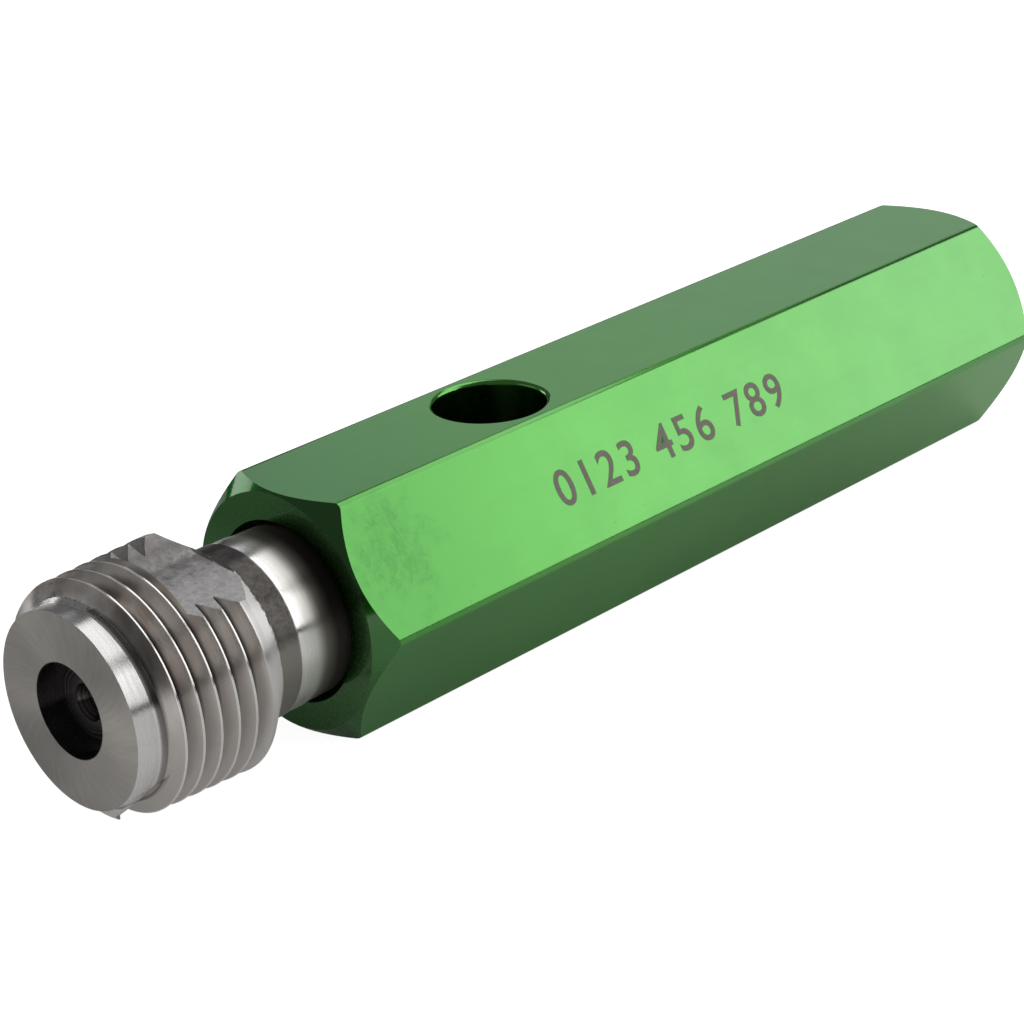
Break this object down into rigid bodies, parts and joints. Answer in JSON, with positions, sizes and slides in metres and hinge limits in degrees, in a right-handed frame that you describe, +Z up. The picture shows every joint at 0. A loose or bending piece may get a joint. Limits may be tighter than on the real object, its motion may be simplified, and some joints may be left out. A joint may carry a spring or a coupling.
{
  "type": "thread plug gauge",
  "caption": "Single-ended taper pipe thread plug gauge: a ground steel gauging member with a gauging notch, wedged by its taper shank in a hexagonal anodised handle.",
  "frame": {"origin": "middle of the footprint, on the surface that the handle's lower flat rests on", "axes": "+X along the bar from the gauging end to the handle's plain end, +Z up through the drift hole, +Y to the left seen from the plain end"},
  "size_m": [0.1176, 0.0254, 0.0222],
  "materials": {
    "handle": "green anodised, bright",
    "gauge_steel": "hardened and ground"
  },
  "bodies": {
    "root": {"handle": "handle", "gauging_member": "gauge_steel"}
  },
  "joints": []
}
